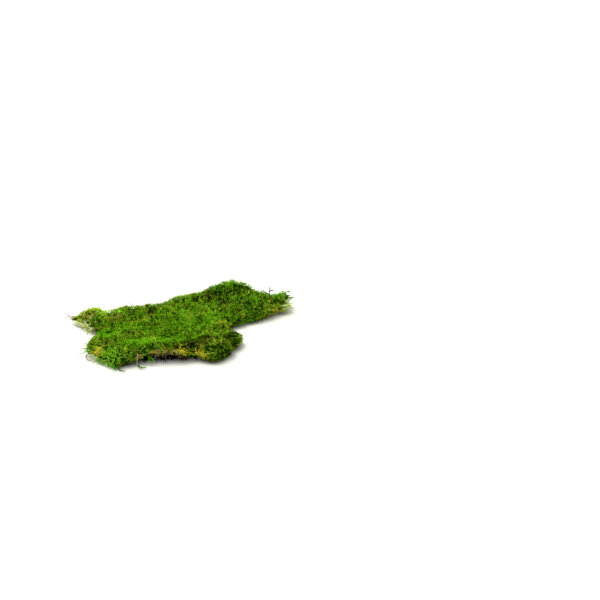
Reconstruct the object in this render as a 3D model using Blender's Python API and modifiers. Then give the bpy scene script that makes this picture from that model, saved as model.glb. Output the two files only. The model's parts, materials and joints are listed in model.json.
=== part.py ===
"""A ragged clump of sheet moss, peeled off the ground in one piece and laid down flat.

Metres, +Z up, +X to the right and -Y to the front. The origin is on the surface that the clump rests on,
under the middle of its box. Sizes below are in millimetres and are turned into metres by MM.

The clump is a green carpet of living shoots on a thinner brown thatch of dead stems. Both follow the same
underside, which lies on the table in places and arches clear of it in others. Single shoots and stems that
stand clear of the tangle are solids of their own.
"""

import math

import bmesh
import bpy
import numpy as np
from mathutils import Vector, noise
from mathutils.bvhtree import BVHTree

MM = 0.001

# Plan of the whole clump, from the tip of its left arm along the rear edge to the right arm, and back
# along the front over both front lobes.
CARPET_OUTLINE = [
    (-96, 26), (-88, 27.5), (-79, 30), (-72, 32.5), (-65, 28.5), (-58, 29.5), (-48, 34), (-32, 36), (-20, 41),
    (-10, 51.5), (2, 55), (14, 58), (24, 61), (33, 66), (43, 67.5), (54, 65.5), (63, 61.5), (71, 58.5),
    (80, 54), (87, 60.5), (96.5, 61), (95.5, 57.5), (89.5, 54.5), (92.5, 49.5), (89.5, 43.5), (80.5, 35),
    (71.5, 27), (61.5, 22.5), (53, 17), (46.5, 9), (46.5, 0), (53, -8), (59.5, -13.5), (56, -20), (50, -28),
    (49, -37.5), (41.5, -46), (33, -47.5), (25, -44.5), (16, -43.5), (4, -43.5), (-10, -45.5), (-24, -48),
    (-33, -52), (-43, -56.5), (-52, -50.5), (-57.5, -46), (-63, -39.5), (-69.5, -35), (-71.5, -28.5),
    (-69, -18), (-65, -8), (-67, 2), (-76, 13), (-87, 22),
]
# Plan of the brown thatch. It stays well inside the rim, except along the lifted front edge.
THATCH_OUTLINE = [
    (-70, 20), (-58, 19), (-40, 24), (-22, 26), (-10, 33), (4, 41), (20, 44), (34, 50), (48, 53),
    (62, 50), (74, 45), (65, 36), (50, 27.5), (39, 16), (36, 3), (40, -8), (46, -16), (40, -27),
    (35, -35.5), (20, -38.5), (4, -40), (-10, -42), (-24, -43), (-36, -45), (-50, -41), (-58, -35),
    (-60, -24), (-57, -8), (-58, 5),
]
OUTLINE_STEPS = 4  # straight pieces between two points of an outline

CLUMP_THICKNESS = 12.5  # from the underside to the tips of the upright shoots
THATCH_THICKNESS = 4.0
LAYER_GAP = 0.9  # clear height between the thatch and the carpet over it
RECESS_REACH = 4.6  # how far past the thatch the hollow under the carpet runs
RECESS_SLOPE = 1.0
CARPET_VOXEL = 3.05
THATCH_VOXEL = 4.4
SLAB = 9.0  # thickness of the flat slab that each layer is shaped from
RIM_ROUND_TOP = 9.0  # how far in from the rim the top has risen to its full height
RIM_ROUND_UNDER = 4.0
RIM_WALL = 0.25  # share of the thickness left as an upright wall at the rim
RIM_MIDDLE = 0.40  # height of the rim's outermost line, as a share of the thickness

# Where the clump stands clear of the table: (x, y, height, reach along x, reach along y).
ARCHES = [
    (-6, -41, 5.2, 18, 11),
    (72, 43, 5.0, 13, 10),
    (90, 53, 4.0, 10, 10),
    (46, 48, 9.0, 17, 13),
    (55, 16, 2.8, 8, 7),
    (-86, 24, 3.5, 10, 8),
]
ARCH_START = 1.0  # what is lower than this lies flat on the table
# Where the carpet is thicker or thinner than CLUMP_THICKNESS: as ARCHES.
SWELLS = [
    (47, 53, 9.0, 16, 12),
    (20, 49, 5.5, 23, 9),
    (29, 55, 3.0, 8, 9),
    (61, 54, 2.0, 7, 8),
    (-2, 46, 1.2, 12, 8),
    (-30, 28, 2.5, 30, 8),
    (72, 48, 2.5, 13, 9),
    (-75, 28, 4.5, 9, 8),
    (-52, -38, 3.5, 14, 13),
    (32, -30, 3.0, 13, 10),
    (54, -13, 2.0, 6, 6),
    (-12, -34, 2.0, 34, 8),
    (-15, 8, -2.0, 30, 14),
    (-93, 25, -5.0, 9, 8),
    (94, 58, -4.0, 9, 9),
]
# The fold between the sheet and its front right lobe.
FOLD_LINE = [(-2, -27), (12, -23.5), (19, -17.5), (28, -10.5), (37, -5), (50, 0)]
FOLD_DEPTH = 6.0
FOLD_HALF_WIDTH = 4.2
CUSHION_WIDTH = 11.0  # a low cushion of shoots
CUSHION_HEIGHT = 3.0
CREASE_WIDTH = 0.5  # how far from the line between two cushions its crease starts, in cushion widths
CREASE_LEVEL = 0.7  # the share of a cushion's height that is at the carpet's own level
HUMMOCK_WIDTH = 26.0
HUMMOCK_HEIGHT = 2.2
TUFT_WIDTH = 5.5  # single tufts of shoots
TUFT_HEIGHT = 1.7
HUMMOCK_PLANE = 40  # the planes of the noise field that these and the rim's second axis are read from
TUFT_PLANE = 20
RIM_Y_PLANE = 9
RAGGED_WIDTH = 13.0  # how the rim wanders in and out
RAGGED_REACH = 2.6
FRINGE_WIDTH = 5.5  # the tufts along the rim
FRINGE_REACH = 1.6

LEAFY_RADIUS = 0.75
STEM_RADIUS = 0.45
SHOOT_TIP = 0.45  # radius of a shoot's tip, as a share of its radius
SHOOT_RINGS = 6  # rings along a shoot
ROUTE_STEPS = 24  # places tried between two points of a route
SHOOT_GAP = 0.35  # clear distance from a shoot's foot to the solid that it grows from

# Shoots and stems that stand clear: (name, radius, points from the foot inside the tangle to the tip).
SHOOTS = [
    ("left_tip_stem", STEM_RADIUS, [(-86, 26, 7), (-92, 25.4, 6.5), (-99.4, 26.3, 4.5)]),
    ("left_arm_shoot", LEAFY_RADIUS, [(-79, 20, 6), (-83.5, 18, 4), (-87.5, 18.5, 2.5)]),
    ("left_fringe_shoot_1", LEAFY_RADIUS, [(-71, 15, 7), (-77, 11.5, 4), (-82.5, 13.5, 1.3)]),
    ("left_fringe_shoot_2", LEAFY_RADIUS, [(-66, 8, 7), (-73, 5, 3.6), (-79.5, 7, 1.2)]),
    ("upright_stalk", STEM_RADIUS, [(76, 47, 8), (77.8, 53, 14), (77.6, 54.3, 18), (78.2, 54.6, 21)]),
    ("right_tip_shoot_1", LEAFY_RADIUS, [(86, 55, 10), (91.5, 60.5, 12.5), (96, 61.5, 14)]),
    ("right_tip_shoot_2", LEAFY_RADIUS, [(87, 56, 8), (95, 59.5, 8.5), (99.8, 58.5, 8.2)]),
    ("right_tip_shoot_3", LEAFY_RADIUS, [(85, 51, 7), (92, 53, 6), (98.5, 54.5, 4.6)]),
    ("right_tip_shoot_4", LEAFY_RADIUS, [(83, 46, 7), (91, 47, 5.5), (96.8, 48.6, 3.8)]),
    ("right_tip_shoot_5", LEAFY_RADIUS, [(78, 41, 7), (86, 40.5, 5), (91.5, 42, 2)]),
    ("lobe_side_shoot_1", STEM_RADIUS, [(-64, -25, 6), (-71.5, -26, 7), (-76, -24.6, 6.2)]),
    ("lobe_side_shoot_2", STEM_RADIUS, [(-64, -29, 5), (-71.5, -29.6, 5.2), (-76, -30.2, 4.4)]),
    (
        "lobe_side_shoot_3",
        STEM_RADIUS,
        [(-62, -32, 4), (-71, -33, 3.8), (-74.5, -34, 2.8), (-77, -35, 1.8)],
    ),
    (
        "looped_shoot",
        STEM_RADIUS,
        [
            (-64, -35, 5), (-69.3, -38.6, 3.5), (-69.6, -40.8, 1.8),
            (-67, -43, 1), (-64, -42, 1), (-63, -40, 1.4),
        ],
    ),
    (
        "floor_curl_shoot",
        LEAFY_RADIUS,
        [(-42, -51, 5), (-42, -55.5, 2.4), (-40.3, -58.3, 1.1), (-38, -60.3, 1.1), (-35, -61, 1.1)],
    ),
    (
        "hanging_stem",
        STEM_RADIUS,
        [
            (-26.8, -43, 12), (-26.3, -50.5, 11), (-26.1, -53.4, 6),
            (-25.9, -54.6, 1.8), (-23, -56, 1), (-19, -54.8, 1),
        ],
    ),
    ("hanging_shoot", LEAFY_RADIUS, [(-19.2, -41, 9), (-17.6, -48, 6), (-15.4, -49, 2)]),
]

# Moves everything so that the middle of the clump's box is over the origin.
PLAN_SHIFT = (-0.23, -3.29)


def clear_scene():
    for leftover in list(bpy.data.objects):
        bpy.data.objects.remove(leftover, do_unlink=True)


def new_collection(name):
    collection = bpy.data.collections.new(name)
    bpy.context.scene.collection.children.link(collection)
    return collection


def new_material(name, colour, roughness):
    material = bpy.data.materials.new(name)
    material.use_nodes = True
    shader = material.node_tree.nodes["Principled BSDF"]
    shader.inputs["Base Color"].default_value = (*colour, 1)
    shader.inputs["Roughness"].default_value = roughness
    shader.inputs["Metallic"].default_value = 0
    return material


def smooth_run(points, steps, closed):
    """Points along a smooth curve through the given ones, `steps` of them for each gap."""
    count = len(points)
    run = []
    for i in range(count if closed else count - 1):
        if closed:
            around = [points[(i + k) % count] for k in (-1, 0, 1, 2)]
        else:
            around = [points[min(max(i + k, 0), count - 1)] for k in (-1, 0, 1, 2)]
        before, here, after, beyond = (np.array(p, float) for p in around)
        for step in range(steps):
            t = step / steps
            run.append(
                here
                + 0.5 * t * (after - before)
                + t * t * (before - 2.5 * here + 2 * after - 0.5 * beyond)
                + 0.5 * t ** 3 * (3 * here - before - 3 * after + beyond)
            )
    if not closed:
        run.append(np.array(points[-1], float))
    return np.array(run)


def inside_distance(plan, outline):
    """Distance of each plan point from the outline, positive inside it."""
    start, end = outline, np.roll(outline, -1, axis=0)
    along = end - start
    to_point = plan[:, None, :] - start[None]
    share = np.clip((to_point * along).sum(2) / (along ** 2).sum(1), 0, 1)
    nearest = np.linalg.norm(to_point - share[..., None] * along, axis=2).min(1)
    x, y = plan[:, :1], plan[:, 1:]
    spans = (start[:, 1] > y) != (end[:, 1] > y)
    run = np.where(np.abs(along[:, 1]) < 1e-9, 1e-9, along[:, 1])
    crossing = start[:, 0] + (y - start[:, 1]) * along[:, 0] / run
    inside = (spans & (x < crossing)).sum(1) % 2 == 1
    return np.where(inside, nearest, -nearest)


def mounds(plan, rows):
    """Height of the rounded mounds in `rows` at each plan point."""
    height = np.zeros(len(plan))
    for x, y, top, reach_x, reach_y in rows:
        height += top * np.exp(-(((plan[:, 0] - x) / reach_x) ** 2) - ((plan[:, 1] - y) / reach_y) ** 2)
    return height


def underside(plan):
    return np.maximum(mounds(plan, ARCHES) - ARCH_START, 0)


def fold(plan):
    """Depth of the fold at each plan point."""
    line = smooth_run(FOLD_LINE, OUTLINE_STEPS, closed=False)
    apart = np.linalg.norm(plan[:, None, :] - line[None], axis=2).min(1)
    return FOLD_DEPTH * np.exp(-((apart / FOLD_HALF_WIDTH) ** 2))


def cushions(plan):
    """Low rounded cushions with creases between them and tufts on them, on wider hummocks."""
    height = np.empty(len(plan))
    for i, (x, y) in enumerate(plan):
        distances = noise.voronoi(Vector((x, y, 0)) / CUSHION_WIDTH)[0]
        crease = min(distances[1] - distances[0], CREASE_WIDTH) / CREASE_WIDTH
        hummock = noise.noise(Vector((x, y, HUMMOCK_PLANE)) / HUMMOCK_WIDTH)
        tuft = noise.noise(Vector((x, y, TUFT_PLANE)) / TUFT_WIDTH)
        cushion = math.sqrt(crease) - CREASE_LEVEL
        height[i] = CUSHION_HEIGHT * cushion + HUMMOCK_HEIGHT * hummock + TUFT_HEIGHT * tuft
    return height


def ragged(plan):
    """The plan points moved so that the rim wanders in and out."""
    moved = plan.copy()
    for i, (x, y) in enumerate(plan):
        for width, reach in ((RAGGED_WIDTH, RAGGED_REACH), (FRINGE_WIDTH, FRINGE_REACH)):
            at = Vector((x, y, 0)) / width
            moved[i, 0] += reach * noise.noise(at)
            moved[i, 1] += reach * noise.noise(at + Vector((0, 0, RIM_Y_PLANE)))
    return moved


def evaluated_mesh(source):
    graph = bpy.context.evaluated_depsgraph_get()
    return bpy.data.meshes.new_from_object(source.evaluated_get(graph))


def remeshed_slab(name, outline, voxel):
    """A flat slab of the outline's plan, remeshed into small even faces."""
    curve = bpy.data.curves.new(name + "_plan", "CURVE")
    curve.dimensions = "2D"
    curve.fill_mode = "BOTH"
    curve.extrude = SLAB / 2 * MM
    spline = curve.splines.new("POLY")
    spline.points.add(len(outline) - 1)
    for point, (x, y) in zip(spline.points, outline):
        point.co = (x * MM, y * MM, 0, 1)
    spline.use_cyclic_u = True
    plate = bpy.data.objects.new(name + "_plan", curve)
    bpy.context.scene.collection.objects.link(plate)
    mesh = evaluated_mesh(plate)
    bpy.data.objects.remove(plate)
    slab = bpy.data.objects.new(name + "_slab", mesh)
    bpy.context.scene.collection.objects.link(slab)
    remesh = slab.modifiers.new("even_faces", "REMESH")
    remesh.mode = "VOXEL"
    remesh.voxel_size = voxel * MM
    mesh = evaluated_mesh(slab)
    bpy.data.objects.remove(slab)
    return mesh


def plan_and_share(mesh):
    """Each vertex's place in the plan, in millimetres, and its height in the slab from -1 to 1."""
    flat = np.empty(len(mesh.vertices) * 3)
    mesh.vertices.foreach_get("co", flat)
    points = flat.reshape(-1, 3) / MM
    half = np.abs(points[:, 2]).max()
    return points[:, :2], points[:, 2] / half


def shape_layer(mesh, plan, share, low, high, rim):
    """Bends the slab between the heights `low` and `high`, with a bulging rim. `rim` is the distance in."""
    middle = low + RIM_MIDDLE * (high - low)
    rising = np.where(share > 0, high - middle, middle - low)
    reach = np.where(share > 0, RIM_ROUND_TOP, RIM_ROUND_UNDER)
    inwards = np.clip(rim / reach, 0, 1)
    bulge = np.maximum(np.sqrt(1 - (1 - inwards) ** 2), RIM_WALL)
    height = np.maximum(middle + rising * share * bulge, 0)
    points = np.column_stack([ragged(plan), height])
    points[:, :2] += PLAN_SHIFT
    mesh.vertices.foreach_set("co", (points * MM).ravel())
    mesh.update()


def finished_layer(name, mesh, material, collection):
    shaped = bmesh.new()
    shaped.from_mesh(mesh)
    bmesh.ops.recalc_face_normals(shaped, faces=shaped.faces)
    shaped.to_mesh(mesh)
    shaped.free()
    mesh.shade_smooth()
    mesh.materials.clear()
    mesh.materials.append(material)
    layer = bpy.data.objects.new(name, mesh)
    collection.objects.link(layer)
    return layer


def make_thatch(material, collection):
    outline = smooth_run(THATCH_OUTLINE, OUTLINE_STEPS, closed=True)
    mesh = remeshed_slab("brown_thatch", outline, THATCH_VOXEL)
    plan, share = plan_and_share(mesh)
    low = underside(plan)
    shape_layer(mesh, plan, share, low, low + THATCH_THICKNESS, inside_distance(plan, outline))
    return finished_layer("brown_thatch", mesh, material, collection)


def make_carpet(material, collection):
    outline = smooth_run(CARPET_OUTLINE, OUTLINE_STEPS, closed=True)
    thatch_outline = smooth_run(THATCH_OUTLINE, OUTLINE_STEPS, closed=True)
    mesh = remeshed_slab("green_carpet", outline, CARPET_VOXEL)
    plan, share = plan_and_share(mesh)
    base = underside(plan)
    over_thatch = inside_distance(plan, thatch_outline) + RECESS_REACH + RECESS_SLOPE
    recess = np.clip(over_thatch / RECESS_SLOPE, 0, 1)
    low = base + recess * (THATCH_THICKNESS + LAYER_GAP)
    rim = inside_distance(plan, outline)
    high = base + CLUMP_THICKNESS + mounds(plan, SWELLS) - fold(plan) + cushions(plan)
    shape_layer(mesh, plan, share, low, high, rim)
    return finished_layer("green_carpet", mesh, material, collection)


def clear_run(route, radius, trees):
    """The end of the route that keeps clear of the solids in `trees`, from the tip back to the foot."""
    clearance = (radius + SHOOT_GAP) * MM
    kept = []
    for point in reversed(route):
        at = Vector(point) * MM
        if min(tree.find_nearest(at)[3] for tree in trees) < clearance:
            break
        kept.append(at)
    return list(reversed(kept))


def evenly_spaced(points, count):
    steps = np.linspace(0, len(points) - 1, count)
    low = np.minimum(steps.astype(int), len(points) - 2)
    return [points[i].lerp(points[i + 1], s - i) for i, s in zip(low, steps)]


def make_shoot(name, radius, points, trees, material, collection):
    route = smooth_run(points, ROUTE_STEPS, closed=False)
    route[:, :2] += PLAN_SHIFT
    clear = evenly_spaced(clear_run(route, radius, trees), SHOOT_RINGS)
    curve = bpy.data.curves.new(name, "CURVE")
    curve.dimensions = "3D"
    curve.bevel_depth = radius * MM
    curve.bevel_resolution = 1
    curve.use_fill_caps = True
    spline = curve.splines.new("POLY")
    spline.points.add(len(clear) - 1)
    for i, (point, at) in enumerate(zip(spline.points, clear)):
        point.co = (*at, 1)
        point.radius = 1 - (1 - SHOOT_TIP) * i / (len(clear) - 1)
    curve.materials.append(material)
    shoot = bpy.data.objects.new(name, curve)
    collection.objects.link(shoot)
    return shoot


def main():
    clear_scene()
    clump = new_collection("moss_clump")
    green = new_material("moss_green", (0.085, 0.19, 0.008), 0.8)
    brown = new_material("dead_moss_brown", (0.11, 0.07, 0.03), 0.9)
    olive = new_material("shoot_olive", (0.14, 0.18, 0.02), 0.8)
    straw = new_material("stem_straw", (0.24, 0.21, 0.08), 0.8)

    thatch = make_thatch(brown, clump)
    carpet = make_carpet(green, clump)
    bpy.context.view_layer.update()
    graph = bpy.context.evaluated_depsgraph_get()
    trees = [BVHTree.FromObject(layer, graph) for layer in (carpet, thatch)]
    for name, radius, points in SHOOTS:
        bare = radius == STEM_RADIUS
        make_shoot(name, radius, points, trees, straw if bare else olive, clump)


main()
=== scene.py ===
"""The looks of a ragged clump of sheet moss, grown over its fixed solids.

Metres, +Z up, +X to the right and -Y to the front, as in the frame. Sizes and places below are in
millimetres, which MM turns into metres.

A dark bed, its darkness painted shade, lies inside the green carpet's solid. Leafy shoots stand on it,
and are laid down where they would pass that solid's surface. Long strands wander over the carpet, and
short ones fringe its edges.
Dead stems and roots cover the brown thatch, and near-black roots under its lifted front edge are painted
shade.
Every single shoot or stem that stands clear of the tangle is a piece of its own, on the route of its
solid.
"""

import json
import math

import bmesh
import bpy
import numpy as np
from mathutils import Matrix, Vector, noise
from mathutils.bvhtree import BVHTree

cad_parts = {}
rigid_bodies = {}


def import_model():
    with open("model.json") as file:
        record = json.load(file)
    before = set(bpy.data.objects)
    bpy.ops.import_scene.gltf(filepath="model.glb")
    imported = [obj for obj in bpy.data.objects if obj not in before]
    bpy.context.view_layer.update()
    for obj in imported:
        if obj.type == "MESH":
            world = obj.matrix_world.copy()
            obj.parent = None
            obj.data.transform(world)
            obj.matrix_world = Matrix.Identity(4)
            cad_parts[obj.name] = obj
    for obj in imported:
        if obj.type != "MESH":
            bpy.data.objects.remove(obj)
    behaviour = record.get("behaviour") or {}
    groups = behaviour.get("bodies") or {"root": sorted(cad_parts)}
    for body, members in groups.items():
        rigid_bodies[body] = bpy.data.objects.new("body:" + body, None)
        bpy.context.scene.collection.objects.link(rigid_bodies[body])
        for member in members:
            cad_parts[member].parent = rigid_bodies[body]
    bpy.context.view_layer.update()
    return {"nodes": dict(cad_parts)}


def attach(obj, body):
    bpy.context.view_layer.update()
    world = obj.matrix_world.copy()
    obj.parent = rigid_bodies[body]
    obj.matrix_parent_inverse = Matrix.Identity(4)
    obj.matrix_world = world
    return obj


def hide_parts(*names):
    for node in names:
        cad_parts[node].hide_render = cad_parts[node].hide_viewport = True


for leftover in list(bpy.data.objects):
    bpy.data.objects.remove(leftover, do_unlink=True)
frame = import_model()

MM = 0.001
PLAN_SHIFT = (-0.23, -3.29, 0.0)  # from the plan, in which the solids were drawn, to the frame
MERGE_DISTANCE = 1e-6  # metres between two corners that are one
RAY_START = 1e-5  # metres inside a surface where a ray through the solid starts

# The photograph's view: the floor point in its middle, and how the camera looks at it.
PHOTO_CENTRE = (104.37, 67.81, 0.0)
PHOTO_DISTANCE = 1052.6
PHOTO_ELEVATION = 26.0  # degrees above the floor
PHOTO_LENS = 70.0

# The bed that the shoots stand on.
BED_DEPTH = 2.2  # how far it lies under the carpet's surface
BED_SHARE = 0.34  # and at most, as a share of the carpet's thickness there
THATCH_BED_DEPTH = 0.8
THATCH_BED_SHARE = 0.2
UNDERSIDE_KEPT = 0.92  # how much less a bed sinks where it faces down

# Ramps over how far the surface faces up, from -1 to 1: their start and span.
FACING_DOWN = (-0.3, -0.4)
LOW_RIM = (0.2, -0.45)  # for dead colours and smaller shoots
SHOOTS_STAND = (-0.66, 0.3)
STEMS_LIE = (-0.98, 0.3)
NOT_LEVEL = (0.97, -0.3)
REAR_RIM = (-0.2, 0.3)
STEMS_HIDDEN = 0.4  # facing up more than this, the thatch is under the carpet
STEMS_LEAST = 0.25  # share of the stems where it faces down

# The same over how far it faces the rear, and over how far to the rear or the right a place is.
FACING_REAR = (0.2, 0.4)
AT_FRONT = (-20, -15)
AT_REAR = (0, 10)
LEFT_OF_TIP = (80, -10)

# The ragged edges of a patch: how wide their waves are and how much they change it.
RAGGED_WIDTH = 7
RAGGED_CHANGE = 0.9

# Which way a shoot stands: a sum of the surface's own way, straight up, and waves of noise. A wave has
# its amount, its width and the plane of the noise that it is taken from.
LEAN_OUT = 0.45
LEAN_UP = 0.15
LEAN_WAVES = ((1.0, 14, 0), (0.8, 5, 50))
DROOP = 0.75  # outwards and down, where the edge hangs
DROOP_WAVES = ((0.5, 6, 80),)
STEM_LEAN_OUT = 0.3
STEM_LEAN_WAVES = ((1.4, 9, 0), (0.6, 4, 50))
# Waves in how long the shoots are and how bright.
GROWTH_WAVES = ((0.18, 9, 20),)
RIM_SHORTER = 0.25  # how much shorter they are along the low rim
LIGHT_WAVES = ((0.28, 7, 110), (0.18, 21, 140))
STEM_LIGHT = -0.65  # under those of the dead stems
STEM_LIGHT_WAVES = ((0.2, 8, 110),)

# A leafy shoot.
LEAF_REACH = 0.42  # from the stem's middle to the leaf tips
STEM_WIDTH = 0.15
SHOOT_LENGTHS = (3.8, 4.4, 5.2, 5.8, 4.2, 4.8, 5.4, 6.2)
SHOOT_BENDS = (20, 45, 70, 95, 110, 30, 60, 85)  # degrees from foot to tip
SHOOT_STEPS = 12  # in the line that its rings are placed on
BEND_DELAY = 1.3  # over 1, a shoot bends more towards its tip
SHOOT_WHORLS = 5
SHOOT_SPACING = 0.84  # least distance between the feet of two shoots
SHOOT_SPREAD = 0.75  # radians that a shoot may lean away from its neighbours
MOST_SHOOTS = 3e6  # to a square metre, before the spacing thins them out
LEAST_SIZE = 0.8
LAID_HEIGHT = 0.6  # over the solid's surface, of a shoot that is laid down on it
TABLE_REST = 1.2  # height under which a shoot is pressed up by the table
LEAF_RISE = 0.2  # share of the shoot, after its bare foot, where the leaves get longer
LEAF_FALL = 0.5  # share from which they get shorter
LEAF_FORWARD = 0.8  # how far they point ahead, in ring spacings
LEAF_TURN = 60  # degrees from one whorl to the next
LEAVES_FROM_FOOT = -LEAF_RISE  # in place of a bare foot
LOOSE_RARITY = 6.0  # a higher power leaves fewer shoots loose
NO_DISTANCE = 1e-7  # metres, to divide by

# The two tangles' solids and slots.
CARPET = ("green_carpet", "moss_green")
THATCH = ("brown_thatch", "dead_moss_brown")

# The pieces that the shoots are cut into, from left to right, and where they end.
REACHES = ("left_end", "left", "left_middle", "right_middle", "right", "right_end")
CUTS = (-120, -52, -28, -6, 16, 38, 120)

# Colours of the shoots from foot to tip. Most are green. Each further one covers those before it.
SHOOT_PARTS = ("Deep", "Body", "Tip")
GREEN = ((0.007, 0.024, 0.0), (0.062, 0.19, 0.001), (0.215, 0.57, 0.018))
TONES = {
    "fresh": ((0.01, 0.042, 0.0), (0.075, 0.28, 0.001), (0.26, 0.72, 0.02)),
    "olive": ((0.008, 0.012, 0.0), (0.05, 0.08, 0.002), (0.24, 0.31, 0.03)),
    "deep": ((0.003, 0.014, 0.0), (0.024, 0.1, 0.001), (0.12, 0.36, 0.012)),
    # Lime: a yellow green, and also the painted glow on the rear rim.
    "lime": ((0.025, 0.05, 0.0), (0.2, 0.34, 0.003), (0.56, 0.82, 0.04)),
    "rust": ((0.014, 0.013, 0.001), (0.1, 0.089, 0.006), (0.38, 0.33, 0.045)),
    "pale": ((0.3, 0.36, 0.1), (0.62, 0.72, 0.25), (0.85, 0.92, 0.5)),
    "gold": ((0.035, 0.034, 0.001), (0.28, 0.268, 0.005), (0.8, 0.75, 0.055)),
    # Umber: dark brown, and also the painted shade in the creases.
    "umber": ((0.003, 0.002, 0.001), (0.022, 0.014, 0.004), (0.085, 0.055, 0.02)),
    "tan": ((0.03, 0.019, 0.006), (0.24, 0.16, 0.045), (0.57, 0.42, 0.16)),
}
# The strays' colours, when they are dark and when they are pale.
LEAFY_COLOURS = (
    ((0.008, 0.022, 0.001), (0.03, 0.10, 0.002), (0.12, 0.28, 0.012)),
    ((0.06, 0.06, 0.004), (0.26, 0.27, 0.02), (0.62, 0.62, 0.1)),
)
BARE_COLOURS = (
    ((0.010, 0.012, 0.005), (0.025, 0.032, 0.012), (0.06, 0.07, 0.03)),
    ((0.25, 0.21, 0.08), (0.52, 0.46, 0.20), (0.8, 0.74, 0.42)),
)
# The beds' colours, at their darkest and their lightest: dark with painted shade of the tangle's depth.
GREEN_SHADE = ((0.004, 0.008, 0.0), (0.022, 0.045, 0.001))
BROWN_SHADE = ((0.008, 0.006, 0.003), (0.05, 0.034, 0.014))
BODY_LEVELS = (0.05, 0.55)  # how bright a place is where the body colour starts, and where it is full
TIP_LEVELS = (0.5, 1.1)
MOTTLE = 0.5  # between the darkest and the brightest mottles on a shoot
CLASS_STEP = 0.37  # between a shoot's chance for one colour and for the next
CLASS_SOFTNESS = 0.12  # how far a colour's field is over the chance when the shoot takes all of it
SHOOT_UNEVENNESS = 0.55  # between the darkest and the brightest shoots of one colour

# Patches of those colours, in the frame: (x, y, reach along x, reach along y, strength).
PATCHES = {
    # Fresh green, and painted light on the front band and on the left lobe's front.
    "fresh": [
        (-20, -39, 24, 7, 1.2), (12, 2, 26, 16, 0.5), (46, 46, 9, 6, 0.5), (83, 49, 7, 5, 0.9),
        (-61, -20, 10, 9, 1.2), (-50, -52, 9, 5, 0.8), (8, -27, 16, 7, 0.5),
    ],
    "olive": [(39, -32, 14, 14, 1.0), (54, -20, 7, 8, 0.9), (-83, 18, 8, 5, 0.7)],
    # Deep green, and painted shade on the hump's right slope and on the right lobe.
    "deep": [
        (64, 32, 18, 12, 0.7), (45, 34, 13, 8, 0.55), (47, 18, 9, 8, 0.7), (86, 52, 9, 7, 0.8),
        (42, -30, 12, 10, 0.5),
    ],
    "lime": [(-70, 26, 11, 6, 1.6), (-52, 26, 14, 6, 0.6), (42, -2, 8, 9, 0.35), (-8, -41, 30, 4, 0.25)],
    "rust": [
        (-52, 8, 8, 10, 0.75), (-81, 16, 9, 5, 1.25), (55, -20, 5, 5, 0.4), (-22, 19, 6, 4, 0.6),
        (-36, 25, 6, 3, 0.6), (-49, -42, 7, 6, 0.6), (-32, -27, 3, 4, 0.5), (9, -18, 5, 4, 0.6),
        (26, -37, 2.5, 6, 1.0), (0, -47, 22, 4, 0.8), (22, -47, 14, 3, 0.5), (52, 31, 4, 3, 0.5),
    ],
    # The pale patch at (54, -27) is a painted glint on the ball tuft.
    "pale": [(-78, 9, 7, 4, 0.5), (94, 45, 4, 5, 0.9), (54, -27, 3, 3, 0.35), (-56, -52, 7, 5, 0.25)],
    "gold": [
        (-60, -47, 4.5, 5, 1.3), (8, -45.5, 4, 4.5, 1.3), (23.5, -46, 5, 5, 1.3), (89, 40.5, 4, 3, 0.5),
        (-29, 12.5, 5, 3, 0.6), (79, 34, 7, 2.5, 0.5), (41, 0, 6, 6, 0.4), (-76, 24, 9, 4, 0.3),
    ],
    # Umber patches darken the front rim between the gold tufts, and the left arm's tip.
    "umber": [(15.5, -46, 2.4, 5, 1.3), (30, -46, 2.5, 3, 0.5), (-86, 22, 4, 3, 0.5)],
    "tan": [(-4, -50, 20, 3, 0.45)],
}
# The share of single shoots that have the colour everywhere, and the wave in which it comes and goes.
SPRINKLES = {
    "olive": (0.14, (0.6, 10, 200)),
    "lime": (0.13, (0.4, 10, 230)),
    "rust": (0.09, (0.5, 10, 260)),
}
RIM_RUST = 0.35  # along the low rim
FRONT_RUST = 0.4  # more, at the front
# Along the rear rim: lime colour and brighter shoots, a painted glow of backlit tips.
REAR_PAINTED_GLOW = 0.4
REAR_PAINTED_LIGHT = 0.25
# Where the shoots are brighter, or darker if the amount is negative, in the same way: partly their own
# tone and partly painted light, on the left arm, the lobe fronts and the front band, and painted glints
# on the ball tuft.
LIFTS_AND_PAINTED_LIGHT = [
    (-14, -38, 26, 8, 0.20), (-60, -24, 10, 10, 0.12), (-60, -47, 9, 7, 0.50), (-73, 24, 14, 9, 1.2),
    (55, -25, 5, 5, 0.5), (76, 34, 14, 5, 0.5), (-46, -55, 12, 5, 0.7), (58, 33, 24, 14, 0.12),
    (-60, -20, 10, 10, -0.06), (38, -34, 14, 12, 0.12), (42, -2, 8, 8, 0.25), (0, -48, 34, 5, 0.10),
    (8, -46, 4, 4, 0.15), (23, -47, 5, 4, 0.15), (92, 46, 7, 6, 0.35), (-84, 20, 7, 6, 0.25),
]
# Creases with short shoots, in the same way, and how much darker with painted shade, shorter and barer
# they are.
CREASE_PAINTED_SHADE = 0.7
CREASE_SHORTER = 0.35
CREASE_BARER = 0.2
CREASES = [
    (12, -38, 5, 2.5, 0.6), (20, -38, 7, 3.2, 0.8), (28, -31, 4, 3, 1.0), (36, -25.5, 5, 2, 0.7),
    (42, -21.5, 4, 2, 0.8), (47.5, -18, 3.0, 5, 1.4), (48.5, -28, 2.4, 6, 0.9), (-72, -3, 4, 3, 0.8),
    (-31, -24, 4, 1.5, 0.6),
]
# Where the front edge is lifted and its shoots hang down, in the same way.
HANGING = [(-18, -42, 30, 9, 1.0), (18, -42, 16, 7, 0.6)]

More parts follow.
